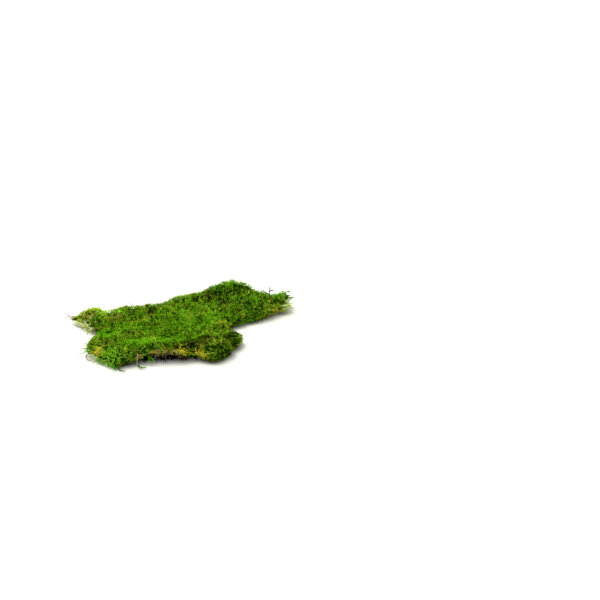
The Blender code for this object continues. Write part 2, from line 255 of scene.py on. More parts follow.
# All places from here on are in the plan.
# Shoots and stems that stand clear, each on the way of its solid and with the ways of its side twigs:
# (solid; leafy, bare, green or another tone of the moss; how pale; how thick; ways).
STRAYS = [
    ("left_tip_stem", "bare", 0.3, 0.95, [
        [(-86, 26, 7), (-92, 25.4, 6.5), (-99.4, 26.3, 4.5)],
        [(-94.5, 25.5, 6), (-96, 27, 7), (-97.8, 28, 7.6)],
        [(-91.5, 25.4, 6.5), (-93.2, 24.2, 5.6), (-95, 23.6, 4.4)],
    ]),
    ("left_arm_shoot", "leafy", 0.5, 1.0, [[(-79, 20, 6), (-83.5, 18, 4), (-87.5, 18.5, 2.5)]]),
    ("left_fringe_shoot_1", "leafy", 0.8, 1.0, [[(-71, 15, 7), (-77, 11.5, 4), (-82.5, 13.5, 1.3)]]),
    ("left_fringe_shoot_2", "leafy", 0.9, 1.0, [[(-66, 8, 7), (-73, 5, 3.6), (-79.5, 7, 1.2)]]),
    ("upright_stalk", "bare", 0.2, 1.7, [
        [(76, 47, 8), (77.8, 53, 14), (77.6, 54.3, 18), (78.2, 54.6, 21)],
        [(77.7, 54, 17), (79.5, 53.5, 17.8), (81.2, 52.5, 18.4)],
    ]),
    ("right_tip_shoot_1", "deep", 0.1, 1.5, [
        [(86, 55, 10), (91.5, 60.5, 12.5), (96, 61.5, 14)],
        [(88.5, 57.5, 11), (91, 57.5, 12.5), (92.5, 56.5, 13.6)],
        [(87.5, 56.5, 10.8), (89, 59.5, 12.6), (89.5, 60, 14.6)],
        [(89.5, 58.7, 11.6), (92.5, 58.5, 11), (95, 58, 10.6)],
    ]),
    ("right_tip_shoot_2", "deep", 0.2, 1.6, [
        [(87, 56, 8), (95, 59.5, 8.5), (99.8, 58.5, 8.2)],
        [(90, 57.6, 8.2), (93.5, 60.5, 9.4), (96.5, 61.5, 9.8)],
        [(91, 58, 8.3), (94.5, 56.8, 8.8), (97.5, 56, 8.8)],
    ]),
    ("right_tip_shoot_3", "leafy", 0.9, 1.3, [
        [(85, 51, 7), (92, 53, 6), (98.5, 54.5, 4.6)],
        [(88, 52, 6.6), (92.5, 50.5, 5.6), (95.5, 50.5, 4.4)],
    ]),
    ("right_tip_shoot_4", "leafy", 1.0, 1.3, [
        [(83, 46, 7), (91, 47, 5.5), (96.8, 48.6, 3.8)],
        [(87, 46.5, 6.2), (91, 44.4, 4.8), (93.5, 43.6, 3.2)],
    ]),
    ("right_tip_shoot_5", "leafy", 0.6, 1.0, [[(78, 41, 7), (86, 40.5, 5), (91.5, 42, 2)]]),
    ("lobe_side_shoot_1", "bare", 0.2, 1.0, [[(-64, -25, 6), (-71.5, -26, 7), (-76, -24.6, 6.2)]]),
    ("lobe_side_shoot_2", "bare", 0.3, 1.0, [[(-64, -29, 5), (-71.5, -29.6, 5.2), (-76, -30.2, 4.4)]]),
    ("lobe_side_shoot_3", "bare", 0.4, 1.0, [[
        (-62, -32, 4), (-71, -33, 3.8), (-74.5, -34, 2.8), (-77, -35, 1.8),
    ]]),
    ("looped_shoot", "bare", 0.3, 1.0, [[
        (-64, -35, 5), (-69.3, -38.6, 3.5), (-69.6, -40.8, 1.8),
        (-67, -43, 1), (-64, -42, 1), (-63, -40, 1.4),
    ]]),
    ("floor_curl_shoot", "leafy", 0.0, 1.1, [[
        (-42, -51, 5), (-42, -55.5, 2.4), (-40.3, -58.3, 1.1), (-38, -60.3, 1.1), (-35, -61, 1.1),
    ]]),
    ("hanging_stem", "bare", 0.85, 1.3, [[
        (-26.7, -45, 8.6), (-26.4, -49.6, 8.5), (-26.3, -52.4, 7.5), (-26.2, -53.8, 5),
        (-25.9, -54.8, 1.8), (-23, -56, 1), (-19, -54.8, 1),
    ]]),
    ("hanging_shoot", "green", 0.3, 1.15, [
        [(-19.2, -41, 9), (-17.6, -48, 6), (-15.4, -49, 2)],
        [(-17.9, -47, 6.6), (-15.5, -48.6, 6.2), (-13.6, -49, 5.4)],
        [(-17.2, -48.2, 5.4), (-18.2, -49.4, 4), (-18.6, -49.6, 2.8)],
        [(-16.6, -48.5, 4.2), (-14.6, -49.2, 4.2), (-12.6, -49.2, 3.6)],
    ]),
]
BARE_SOLIDS = [name for name, kind, *_ in STRAYS if kind == "bare"]
# The green sprig on the end of the hanging stem.
STEM_SPRIG = ("fresh", 0.3, 1.2, [[(-26, -54.4, 2.6), (-23, -56, 1.6), (-19.2, -54.8, 1.5)]])
STRAY_STEP = 0.4  # along the way of a stray
STRAY_WHORL_LENGTH = 0.75
STRAY_TAPER = 0.35
LEAFY_STRAY = (0.5, 0.26, 0.4)  # leaf reach, stem width and tip share at a thickness of 1
BARE_STRAY = (0.07, 0.36, 1.0)
PALE_LIGHT = 0.4  # how much brighter the palest stray is

# Single thin wisps that stand out of the edges, with their colour.
WISPS = [
    ("deep", [(-76, 28, 7), (-79, 30.2, 8.8), (-80.6, 30.4, 10.2)]),
    ("deep", [(-67, 30, 8), (-68.8, 32, 10.4), (-69.4, 32.2, 12.6)]),
    ("rust", [(-42.4, 33.5, 16), (-42.2, 33, 13.4), (-37, 31.6, 12.6), (-31, 31, 12.8)]),
    ("deep", [(57, 61, 13), (60, 64, 15.5), (62, 66.5, 17)]),
    ("deep", [(94, 59, 13), (95.5, 58, 15), (97.2, 57.4, 15.8)]),
    ("deep", [(-40.5, -52, 4), (-40.6, -55.5, 2.2), (-40.3, -58, 1.2)]),
    ("rust", [(25, -29.5, 17), (25.3, -34.5, 16.6), (26.4, -41, 12)]),
    ("rust", [(25.6, -29.5, 16.6), (26.2, -34.5, 16.3), (27.0, -40, 12.6)]),
    ("rust", [(24.2, -31, 16.6), (24.9, -35, 16.2), (25.8, -40.5, 12)]),
]
# Fringes of short strands: the line near which they start on the carpet, which way they run, how much
# that varies, how many there are, how long they are, and their colour.
FRINGES = [
    ((-91, 23, 4), (-84, 27, 7), (-1, 0.0, 0.0), 0.25, 12, (2, 4), "rust"),
    ((-86, 20, 4), (-80, 22, 6), (-0.6, -0.5, -0.1), 0.4, 30, (2, 4), "lime"),
    ((-81, 24, 8), (-66, 27, 12), (-0.2, -0.4, 0.6), 0.6, 150, (1.2, 2.4), "lime"),
    ((-86, 20, 3), (-70, 6, 3), (-0.7, -0.5, -0.1), 0.5, 70, (2, 5.5), "pale"),
    ((-70, -12, 5), (-70, -40, 4), (-1, -0.25, -0.1), 0.5, 40, (1.2, 3), "fresh"),
    ((-67, -38, 3), (-60, -43, 3), (-0.7, -0.7, -0.4), 0.4, 16, (2.5, 5), "pale"),
    ((-62, -44, 3), (-40, -56, 3), (-0.3, -0.8, -0.4), 0.5, 50, (1.5, 3.5), "fresh"),
    ((-63, -46, 9), (-56, -42, 11), (-0.2, -0.5, 0.6), 0.6, 30, (1.5, 3), "gold"),
    ((-34, -52, 9), (24, -46, 9), (0, -0.35, -0.9), 0.25, 60, (1.5, 3), "fresh"),
    ((-34, -52, 9), (30, -46, 9), (0, -0.35, -0.9), 0.3, 50, (1.5, 3), "lime"),
    ((5, -44, 10), (12, -46, 6), (0, -0.6, 0.4), 0.7, 40, (1.5, 2.8), "gold"),
    ((19, -44, 10), (28, -46, 6), (0, -0.6, 0.4), 0.7, 46, (1.5, 2.8), "gold"),
    ((82, 56, 9), (96, 61, 13), (0.8, 0.3, 0.3), 0.5, 70, (1.5, 3.2), "deep"),
    ((86, 44, 5), (94, 51, 7), (1, -0.1, 0.0), 0.5, 90, (1.8, 4), "pale"),
    ((86, 43, 3), (95, 49, 5), (0.7, -0.3, 0.1), 0.6, 70, (1.5, 3.2), "lime"),
    ((66, 29, 3), (88, 42, 4), (0.5, -0.6, -0.3), 0.5, 40, (2, 3.5), "gold"),
    # Bright fresh and lime strands along the rear rim: partly a painted glow of backlit tips.
    ((66, 62, 16), (18, 59, 16), (-0.1, 0.5, 0.5), 0.4, 70, (1.5, 3), "fresh"),
    ((-60, 31, 12), (14, 58, 14), (0, 0.5, 0.6), 0.35, 140, (1.5, 2.8), "lime"),
    ((50, 14, 3), (70, 28, 3), (0.3, -0.6, -0.2), 0.4, 30, (1.5, 3), "fresh"),
    ((28, -47, 6), (56, -27, 5), (0.2, -0.8, -0.2), 0.5, 40, (1.5, 3), "olive"),
    # Umber strands along the crease: painted shade.
    ((10, -38, 13), (24, -36, 13), (1, 0.1, 0.0), 0.3, 26, (3, 5), "umber"),
    ((-21, -50, 6), (10, -48, 6), (0.7, -0.5, -0.2), 0.4, 50, (1.5, 3.2), "tan"),
    ((-21, -50, 6), (10, -48, 6), (-0.7, -0.5, -0.2), 0.4, 50, (1.5, 3.2), "tan"),
    ((-60, -46, 3), (-50, -53, 3), (-0.3, -0.8, -0.2), 0.5, 10, (1.2, 2.6), "pale"),
    ((84, 53, 12), (94, 57, 12), (0.6, 0.2, 0.6), 0.5, 40, (2.2, 3.6), "deep"),
    ((84, 53, 12), (94, 57, 12), (0.7, 0.2, 0.5), 0.5, 40, (2.2, 3.6), "fresh"),
    ((85, 53, 12), (94, 57, 12), (0.6, 0.3, 0.5), 0.5, 30, (2.2, 3.8), "olive"),
]
# Dead fibres and roots under the lifted front edge: the same, but from the thatch, and with how light
# they are in place of the colour. The near-black roots of the first two rows are painted shade under the
# edge.
ROOTS_AND_PAINTED_SHADE = [
    ((-26, -45, 2), (32, -40, 2), (0, -0.1, -1.0), 0.3, 150, (3, 5), -1.0),
    ((-24, -47, 1), (26, -44, 1), (0.1, -0.8, -0.3), 0.35, 170, (2.5, 4.5), -1.0),
    ((-19, -50, 8), (32, -48, 8), (0.6, -0.5, 0.2), 0.5, 110, (2, 3.5), 0.5),
    ((-16, -50, 8), (32, -48, 8), (-0.6, -0.5, 0.2), 0.5, 90, (2, 3.5), 0.7),
]
EDGE_SCATTER = 0.8  # how far such strands start from the line
EDGE_SUNK = 0.5
EDGE_SIDEWAYS = (0.1, 0.5)  # how far they bend to a side, as a share of the way
EDGE_BEND_LEFT = 0.4  # share of that bend at the tip
EDGE_LOWEST = 0.5  # height over the table
EDGE_STEP = 0.5
FRINGE = {"Whorls": 7, "Leaf Reach": 0.45 * MM, "Bare Foot": 0.0, "Taper": 0.5}
SURE_STRENGTH = 1.2  # of a colour's field, for strands that take all of it

# The dead stems of the thatch.
THATCH_START = -21  # in the frame
DEAD_STEM = {"Bare Foot": LEAVES_FROM_FOOT, "Tip Share": 1.0}
LYING_STEM = {**DEAD_STEM, "Leaf Reach": 0.09 * MM, "Stem Width": 0.24 * MM}
LYING_STEMS = {"Spacing": 1.3 * MM, "Most Size": 1.7, "Loose": 1.6 * MM, "Seed": 300}
ROOT = {**DEAD_STEM, "Whorls": 5, "Leaf Reach": 0.1 * MM, "Stem Width": 0.3 * MM, "Taper": 0.6}

# Long strands that wander over the carpet.
STRAND_COUNT = 300
STRAND_STEP = 0.6
STRAND_LENGTHS = (7, 15)
STRAND = {"Whorls": 14, "Leaf Reach": 0.34 * MM, "Bare Foot": 0.0}
STRAND_TURNING = 0.11  # radians at every step
STRAND_WAVER = 0.12  # how much that changes
STRAND_RISES = (0.1, 0.7)
STRAND_SUNK = 0.25
STRAND_FACING = 0.3  # facing down more than this, the surface has none
STRAND_ARCH_START = 0.1
STRAND_ARCH_PACE = 1.6  # over 1, the arch ends before the strand does
STRAND_TIP = 0.6  # share after which the tip rises
STRAND_TIP_RISE = 0.8

# Without a seed of its own the noise would differ from run to run.
RANDOM = np.random.default_rng(7)
noise.seed_set(3)

CELL_MARGIN = 0.08  # clear share at each side of a shoot's place in its map
SPARE_FIELDS = ("lean", "cover", "growth", "loose", "id")  # of no use once the shoots stand

# The studio.
FLOOR_HALF = 4000
FLOOR_LEVEL = -0.2
FLOOR_COLOUR = (0.77, 0.77, 0.70, 1)
DOME_EDGE_LIGHT = 0.15
DOME_TOP_LIGHT = 1.35
DOME_POWER = 2.0
KEY_LIGHT = 3.1
KEY_SOFTNESS = 48.0  # degrees across
KEY_WAY = (0.55, -0.5, -1.2)


# ---- node helpers


def feed(tree, socket, value):
    if isinstance(value, bpy.types.NodeSocket):
        tree.links.new(value, socket)
    else:
        socket.default_value = value


def node(tree, kind, inputs=None, **settings):
    made = tree.nodes.new(kind)
    for name, value in settings.items():
        setattr(made, name, value)
    for name, value in (inputs or {}).items():
        feed(tree, made.inputs[name], value)
    return made


def out(tree, kind, inputs=None, key=0, **settings):
    """One output of a new node, the first if no other is named."""
    return node(tree, kind, inputs, **settings).outputs[key]


def maths(tree, operation, *values, clamp=False):
    return out(tree, "ShaderNodeMath", dict(enumerate(values)), operation=operation, use_clamp=clamp)


def product(tree, first, *others):
    for other in others:
        first = maths(tree, "MULTIPLY", first, other)
    return first


def scaled(tree, vector, scale):
    return out(tree, "ShaderNodeVectorMath", {0: vector, "Scale": scale}, operation="SCALE")


def new_tree(name, kind, inputs, output, output_kind):
    """A tree with these inputs, each with a kind and perhaps a default, and one output."""
    tree = bpy.data.node_groups.new(name, kind)
    for label, socket_kind, *default in inputs:
        socket = tree.interface.new_socket(label, in_out="INPUT", socket_type="NodeSocket" + socket_kind)
        if default:
            socket.default_value = default[0]
    tree.interface.new_socket(output, in_out="OUTPUT", socket_type="NodeSocket" + output_kind)
    return tree, tree.nodes.new("NodeGroupInput").outputs, tree.nodes.new("NodeGroupOutput").inputs[0]


def random_float(tree, low, high, seed):
    return out(tree, "FunctionNodeRandomValue", {2: low, 3: high, 8: seed}, 1)


def field_of(tree, name, data_type="FLOAT"):
    return out(tree, "GeometryNodeInputNamedAttribute", {"Name": name}, data_type=data_type)


def moved(tree, geometry, **inputs):
    return out(tree, "GeometryNodeSetPosition", {"Geometry": geometry, **inputs})


def painted(tree, geometry, material):
    return out(tree, "GeometryNodeSetMaterial", {"Geometry": geometry, "Material": material})


def stored(tree, geometry, name, value, domain="POINT"):
    inputs = {"Geometry": geometry, "Name": name, "Value": value}
    return out(tree, "GeometryNodeStoreNamedAttribute", inputs, domain=domain)


# ---- geometry trees


def leafy_shoot_tree():
    """Turns lines into closed shoots: rings of three leaf tips between rings of bare stem."""
    inputs = [
        ("Lines", "Geometry"),
        ("Whorls", "Int", SHOOT_WHORLS),
        ("Leaf Reach", "Float", LEAF_REACH * MM),
        ("Stem Width", "Float", STEM_WIDTH * MM),
        ("Bare Foot", "Float", 0.2),
        ("Tip Share", "Float", 0.45),
        ("Taper", "Float", 0.8),
        ("Material", "Material"),
    ]
    tree, given, result = new_tree("leafy_shoot", "GeometryNodeTree", inputs, "Shoots", "Geometry")
    lines = out(tree, "GeometryNodeMeshToCurve", {0: given["Lines"]})
    rings = maths(tree, "ADD", product(tree, given["Whorls"], 2), 1)
    lines = out(tree, "GeometryNodeResampleCurve", {"Curve": lines, "Count": rings})
    on_line = tree.nodes.new("GeometryNodeSplineParameter").outputs
    along = on_line["Factor"]
    index = on_line["Index"]
    leafy = maths(tree, "MODULO", index, 2)
    foot_end = maths(tree, "ADD", given["Bare Foot"], LEAF_RISE)
    rise = {"Value": along, "From Min": given["Bare Foot"], "From Max": foot_end}
    rise = out(tree, "ShaderNodeMapRange", rise)
    fall = {"Value": along, "From Min": LEAF_FALL, "To Min": 1.0, "To Max": given["Tip Share"]}
    fall = out(tree, "ShaderNodeMapRange", fall)
    reach = product(tree, rise, fall, given["Leaf Reach"])
    thinned = maths(tree, "SUBTRACT", 1.0, product(tree, along, given["Taper"]))
    stem = product(tree, given["Stem Width"], thinned)
    radius = maths(tree, "ADD", stem, product(tree, leafy, reach))
    whole = out(tree, "GeometryNodeSplineLength", key="Length")
    forward = maths(tree, "DIVIDE", whole, product(tree, given["Whorls"], 2))
    forward = product(tree, forward, leafy, LEAF_FORWARD)
    offset = scaled(tree, out(tree, "GeometryNodeInputTangent"), forward)
    turn = maths(tree, "FLOOR", maths(tree, "DIVIDE", index, 2))
    turn = product(tree, turn, math.radians(LEAF_TURN))
    lines = stored(tree, lines, "along", along)
    lines = out(tree, "GeometryNodeSetCurveRadius", {"Curve": lines, "Radius": radius})
    lines = out(tree, "GeometryNodeSetCurveTilt", {"Curve": lines, "Tilt": turn})
    lines = moved(tree, lines, Offset=offset)
    ring = out(tree, "GeometryNodeCurvePrimitiveCircle", {"Resolution": 3}, "Curve")
    wide = out(tree, "GeometryNodeInputRadius")
    sweep = {"Curve": lines, "Profile Curve": ring, "Scale": wide, "Fill Caps": True}
    shoots = out(tree, "GeometryNodeCurveToMesh", sweep)
    feed(tree, result, painted(tree, shoots, given["Material"]))
    return tree


def standing_shoots_tree():
    """Stands shoots on a bed, each along the bed's own `lean`, inside the form and above the table."""
    inputs = [
        ("Bed", "Geometry"),
        ("Kinds", "Collection"),
        ("Form", "Object"),
        ("Spacing", "Float", SHOOT_SPACING * MM),
        ("Most Size", "Float", 1.2),
        ("Loose", "Float", 3.0 * MM),
        ("Seed", "Int"),
        ("Material", "Material"),
    ]
    tree, given, result = new_tree("standing_shoots", "GeometryNodeTree", inputs, "Shoots", "Geometry")

    def seed(step):
        return maths(tree, "ADD", given["Seed"], step)

    cast = {
        "Mesh": given["Bed"],
        "Distance Min": given["Spacing"],
        "Density Max": MOST_SHOOTS,
        "Density Factor": field_of(tree, "cover"),
        "Seed": given["Seed"],
    }
    feet = "GeometryNodeDistributePointsOnFaces"
    feet = out(tree, feet, cast, "Points", distribute_method="POISSON")
    lean = field_of(tree, "lean", "FLOAT_VECTOR")
    turned = out(tree, "FunctionNodeAlignRotationToVector", {"Vector": lean}, axis="Z")
    twist = out(tree, "ShaderNodeCombineXYZ", {"Z": random_float(tree, 0.0, math.tau, seed(1))})
    tilt = random_float(tree, -SHOOT_SPREAD, SHOOT_SPREAD, seed(2))
    tilt = out(tree, "ShaderNodeCombineXYZ", {"X": tilt})
    for angles in (twist, tilt):
        by = out(tree, "FunctionNodeEulerToRotation", {0: angles})
        turn = {"Rotation": turned, "Rotate By": by}
        turned = out(tree, "FunctionNodeRotateRotation", turn, rotation_space="LOCAL")
    size = random_float(tree, LEAST_SIZE, given["Most Size"], seed(3))
    size = product(tree, size, field_of(tree, "growth"))
    kinds = {"Collection": given["Kinds"], "Separate Children": True, "Reset Children": True}
    kinds = out(tree, "GeometryNodeCollectionInfo", kinds)
    pick = out(tree, "FunctionNodeRandomValue", {4: 0, 5: 999, 8: seed(4)}, 2, data_type="INT")
    chosen = {"Instance": kinds, "Pick Instance": True, "Instance Index": pick}
    placed = {"Points": feet, "Rotation": turned, "Scale": size, **chosen}
    shoots = out(tree, "GeometryNodeInstanceOnPoints", placed)
    for step, name in enumerate(("shade", "hue", "loose"), 5):
        shoots = stored(tree, shoots, name, random_float(tree, 0.0, 1.0, seed(step)), "INSTANCE")
    shoots = out(tree, "GeometryNodeRealizeInstances", {"Geometry": shoots})

    # What would stand out of the form is laid down on it, except for a few loose shoots.
    form = out(tree, "GeometryNodeObjectInfo", {"Object": given["Form"]}, "Geometry")
    place = out(tree, "GeometryNodeInputPosition")
    near = node(tree, "GeometryNodeProximity", {0: form}).outputs
    facing = {"Mesh": form, "Value": out(tree, "GeometryNodeInputNormal")}
    facing = out(tree, "GeometryNodeSampleNearestSurface", facing, data_type="FLOAT_VECTOR")
    vector = "ShaderNodeVectorMath"
    away = out(tree, vector, {0: place, 1: near["Position"]}, operation="SUBTRACT")
    outside = out(tree, vector, {0: away, 1: facing}, "Value", operation="DOT_PRODUCT")
    outside = maths(tree, "GREATER_THAN", outside, 0.0)
    loose = maths(tree, "POWER", field_of(tree, "loose"), LOOSE_RARITY)
    limit = maths(tree, "MULTIPLY_ADD", loose, given["Loose"], LAID_HEIGHT * MM)
    share = product(tree, maths(tree, "DIVIDE", near["Distance"], limit), -1)
    share = maths(tree, "EXPONENT", share)
    kept = product(tree, maths(tree, "SUBTRACT", 1.0, share), limit)
    kept = maths(tree, "DIVIDE", kept, maths(tree, "MAXIMUM", near["Distance"], NO_DISTANCE))
    back = scaled(tree, away, maths(tree, "SUBTRACT", kept, 1.0))
    shoots = moved(tree, shoots, Offset=back, Selection=outside)

    # Nothing reaches the table: what would, comes to rest a little over it.
    place = node(tree, "ShaderNodeSeparateXYZ", {0: out(tree, "GeometryNodeInputPosition")}).outputs
    below = maths(tree, "SUBTRACT", maths(tree, "DIVIDE", place["Z"], TABLE_REST * MM), 1.0)
    below = maths(tree, "MINIMUM", below, 0.0)
    pressed = product(tree, maths(tree, "EXPONENT", below), TABLE_REST * MM)
    height = maths(tree, "MAXIMUM", place["Z"], pressed)
    settled = out(tree, "ShaderNodeCombineXYZ", {"X": place["X"], "Y": place["Y"], "Z": height})
    shoots = moved(tree, shoots, Position=settled)
    feed(tree, result, painted(tree, shoots, given["Material"]))
    return tree


def mesh_from_tree(carrier, tree, values):
    """The plain mesh that the tree makes of the carrier."""
    modifier = carrier.modifiers.new(tree.name, "NODES")
    modifier.node_group = tree
    for socket in tree.interface.items_tree:
        if socket.name in values:
            modifier[socket.identifier] = values[socket.name]
    graph = bpy.context.evaluated_depsgraph_get()
    mesh = bpy.data.meshes.new_from_object(carrier.evaluated_get(graph))
    carrier.modifiers.remove(modifier)
    return mesh


# ---- materials


def shoot_tone_group():
    """Colour of a shoot from its dark foot to its bright tip, a little different on each shoot."""
    inputs = [(part, "Color") for part in SHOOT_PARTS]
    tree, given, result = new_tree("shoot_tone", "ShaderNodeTree", inputs, "Colour", "Color")
    along = field_value(tree, "along")
    shade = field_value(tree, "shade")
    patchy = field_value(tree, "patchy")
    place = out(tree, "ShaderNodeTexCoord", key="Object")
    mottle = {"Vector": place, "Scale": 620.0, "Detail": 2.0, "Roughness": 0.6}
    mottle = out(tree, "ShaderNodeTexNoise", mottle, "Fac")
    uneven = product(tree, maths(tree, "SUBTRACT", shade, 0.5), SHOOT_UNEVENNESS)
    level = maths(tree, "ADD", maths(tree, "MULTIPLY_ADD", mottle, MOTTLE, -MOTTLE / 2), uneven)
    # This adds the shoots' own patchiness and the painted light and shade.
    level = maths(tree, "ADD", maths(tree, "ADD", level, along), patchy)

    def blended(levels, first, second):
        share = {"Value": level, "From Min": levels[0], "From Max": levels[1]}
        share = out(tree, "ShaderNodeMapRange", share, interpolation_type="SMOOTHSTEP")
        return blend_by(tree, share, first, second)

    colour = blended(BODY_LEVELS, given["Deep"], given["Body"])
    feed(tree, result, blended(TIP_LEVELS, colour, given["Tip"]))
    return tree


def plain_material(name, roughness, specular=0.0):
    material = bpy.data.materials.new(name)
    material.use_nodes = True
    shader = material.node_tree.nodes["Principled BSDF"].inputs
    shader["Roughness"].default_value = roughness
    shader["Specular IOR Level"].default_value = specular
    return material, material.node_tree, shader


def blend_by(tree, share, first, second):
    return out(tree, "ShaderNodeMix", {"Factor": share, 6: first, 7: second}, 2, data_type="RGBA")


def layered(tree, first, others):
    """Deep, body and tip colours: those of `first`, with each further tone over them by its share."""
    colours = []
    for i in range(3):
        colour = (*first[i], 1)
        for tone, share in others:
            colour = blend_by(tree, share, colour, (*tone[i], 1))
        colours.append(colour)
    return colours


def toned(tree, group, colours):
    return out(tree, "ShaderNodeGroup", dict(zip(SHOOT_PARTS, colours)), node_tree=group)


def field_value(tree, name):
    return out(tree, "ShaderNodeAttribute", key="Fac", attribute_name=name)


def living_moss(group):
    """Green shoots, with others among them where the shoot's own chance is under the colour's field."""
    material, tree, shader = plain_material("living_moss", roughness=0.8)
    hue = field_value(tree, "hue")
    others = []
    for i, (name, tone) in enumerate(TONES.items()):
        chance = maths(tree, "FRACT", maths(tree, "ADD", hue, i * CLASS_STEP))
        apart = maths(tree, "SUBTRACT", field_value(tree, name), chance)
        others.append((tone, maths(tree, "DIVIDE", apart, CLASS_SOFTNESS, clamp=True)))
    feed(tree, shader["Base Color"], toned(tree, group, layered(tree, GREEN, others)))
    shader["Subsurface Weight"].default_value = 0.6
    shader["Subsurface Radius"].default_value = (0.6, 1.0, 0.1)
    shader["Subsurface Scale"].default_value = 0.4 * MM
    return material


def stray_material(name, group, dark, pale):
    """Between a dark and a pale way of colouring, by the stray's own `hue`."""
    material, tree, shader = plain_material(name, roughness=0.7, specular=0.04)
    colours = layered(tree, dark, [(pale, field_value(tree, "hue"))])
    feed(tree, shader["Base Color"], toned(tree, group, colours))
    return material


def dead_stems(group):
    """Brown, tan and pinkish dead stems."""
    material, tree, shader = plain_material("dead_stems", roughness=0.9)
    brown = ((0.008, 0.006, 0.003), (0.07, 0.045, 0.014), (0.24, 0.155, 0.055))
    tan = ((0.03, 0.02, 0.01), (0.24, 0.175, 0.08), (0.55, 0.44, 0.24))
    pink = ((0.03, 0.015, 0.012), (0.25, 0.12, 0.085), (0.52, 0.3, 0.22))
    hue = field_value(tree, "hue")
    starts = ((tan, 0.62), (pink, 0.88))
    others = [(tone, maths(tree, "GREATER_THAN", hue, start)) for tone, start in starts]
    feed(tree, shader["Base Color"], toned(tree, group, layered(tree, brown, others)))
    return material


def tangle_material(name, low, high):
    """The dark inside of the tangle, darkened with painted shade."""
    material, tree, shader = plain_material(name, roughness=1.0)
    place = out(tree, "ShaderNodeTexCoord", key="Object")
    mottle = out(tree, "ShaderNodeTexNoise", {"Vector": place, "Scale": 700.0, "Detail": 3.0}, "Fac")
    feed(tree, shader["Base Color"], blend_by(tree, mottle, (*low, 1), (*high, 1)))
    bump = {"Height": mottle, "Distance": 1.0 * MM}
    feed(tree, shader["Normal"], out(tree, "ShaderNodeBump", bump))
    return material


# ---- beds


def vectors_of(layer, key):
    flat = np.empty(len(layer) * 3)
    layer.foreach_get(key, flat)
    return flat.reshape(-1, 3)


def places_of(mesh):
    return vectors_of(mesh.vertices, "co")


def ramp(values, start, span):
    """0 up to `start`, and 1 a `span` further on or, where that is negative, further back."""
    return np.clip((values - start) / span, 0, 1)


def merged_solid(node_name):
    merged = bmesh.new()
    merged.from_mesh(frame["nodes"][node_name].data)
    bmesh.ops.remove_doubles(merged, verts=merged.verts, dist=MERGE_DISTANCE)
    merged.normal_update()
    return merged


def solid_form(node_name):
    """The solid's surface, to find places on, and an object of it, for the geometry trees."""
    form = merged_solid(node_name)
    mesh = bpy.data.meshes.new(node_name + "_form")
    form.to_mesh(mesh)
    return form, add_object(mesh.name, mesh)


def sunken_bed(node_name, depth, share, name):
    """A copy of the solid with its surface sunk below the tips of what grows on it."""
    bed = merged_solid(node_name)
    tree = BVHTree.FromBMesh(bed)
    sinks = []
    for vertex in bed.verts:
        inwards = -vertex.normal
        hit = tree.ray_cast(vertex.co + inwards * RAY_START, inwards)
        through = hit[3] if hit[0] is not None else 1.0
        kept = UNDERSIDE_KEPT * ramp(vertex.normal.z, *FACING_DOWN)
        sinks.append(min(depth * MM, share * through) * (1 - kept))
    for vertex, sink in zip(bed.verts, sinks):
        vertex.co -= vertex.normal * sink
    mesh = bpy.data.meshes.new(name)
    bed.to_mesh(mesh)
    bed.free()
    return mesh


def patch_strengths(points, rows):
    """The strength of each row's patch at each point."""
    x, y, reach_x, reach_y, strength = np.array(rows, float).T[:, :, None]
    across, back, _ = (points / MM).T
    return strength * np.exp(-(((across - x) / reach_x) ** 2 + ((back - y) / reach_y) ** 2))


def patch_field(points, rows):
    """Strength of the strongest patch at each point, with ragged edges."""
    ragged = np.array([noise.noise(Vector(p) / (RAGGED_WIDTH * MM)) for p in points])
    return np.clip(patch_strengths(points, rows).max(axis=0) * (1 + RAGGED_CHANGE * ragged), 0, 1)


# The shoots' own brightness and painted light, summed over the lifts.
def lift_and_painted_light_field(points):
    return patch_strengths(points, LIFTS_AND_PAINTED_LIGHT).sum(axis=0)


def wander(points, width, plane):
    """A smooth random direction at each point, in waves of that width; each plane has its own."""
    shift = Vector((0, 0, plane))
    return np.array([noise.noise_vector(Vector(p) / (width * MM) + shift) for p in points])


def waved(start, points, waves):
    """`start` with the waves added to it at each point."""
    for amount, width, plane in waves:
        start = start + amount * wander(points, width, plane)
    return start


def unit(vectors):
    return vectors / np.maximum(np.linalg.norm(vectors, axis=1), 1e-9)[:, None]


def set_field(mesh, name, values, kind="FLOAT"):
    layer = mesh.attributes.get(name) or mesh.attributes.new(name, kind, "POINT")
    key = "vector" if kind == "FLOAT_VECTOR" else "value"
    layer.data.foreach_set(key, np.asarray(values, float).ravel())


def colour_fields(points, normals):
    """The strength of each colour at each point, and how bright the shoots are there, painted light and
    shade included, as `patchy`.
    """
    across, back, _ = (points / MM).T
    low_rim = ramp(normals[:, 2], *LOW_RIM)
    front = ramp(back, *AT_FRONT)
    # The rear-facing rim, which gets the painted glow.
    rear = ramp(normals[:, 1], *FACING_REAR) * ramp(normals[:, 2], *REAR_RIM)
    rear *= ramp(back, *AT_REAR) * ramp(across, *LEFT_OF_TIP)
    fields = {name: patch_field(points, rows) for name, rows in PATCHES.items()}
    for name, (share, wave) in SPRINKLES.items():
        chance = waved(share, points, (wave,))[:, 0]
        fields[name] = np.maximum(fields[name], chance * (1 - fields["fresh"]))
    # In the creases, umber colour and darker shoots are painted shade.
    crease = patch_field(points, CREASES)
    rust = low_rim * (RIM_RUST + FRONT_RUST * front)
    for name, field in (("rust", rust), ("umber", crease), ("lime", REAR_PAINTED_GLOW * rear)):
        fields[name] = np.maximum(fields[name], field)
    patchy = waved(0, points, LIGHT_WAVES)[:, 0] - CREASE_PAINTED_SHADE * crease + REAR_PAINTED_LIGHT * rear
    fields["patchy"] = patchy + lift_and_painted_light_field(points)
    return fields


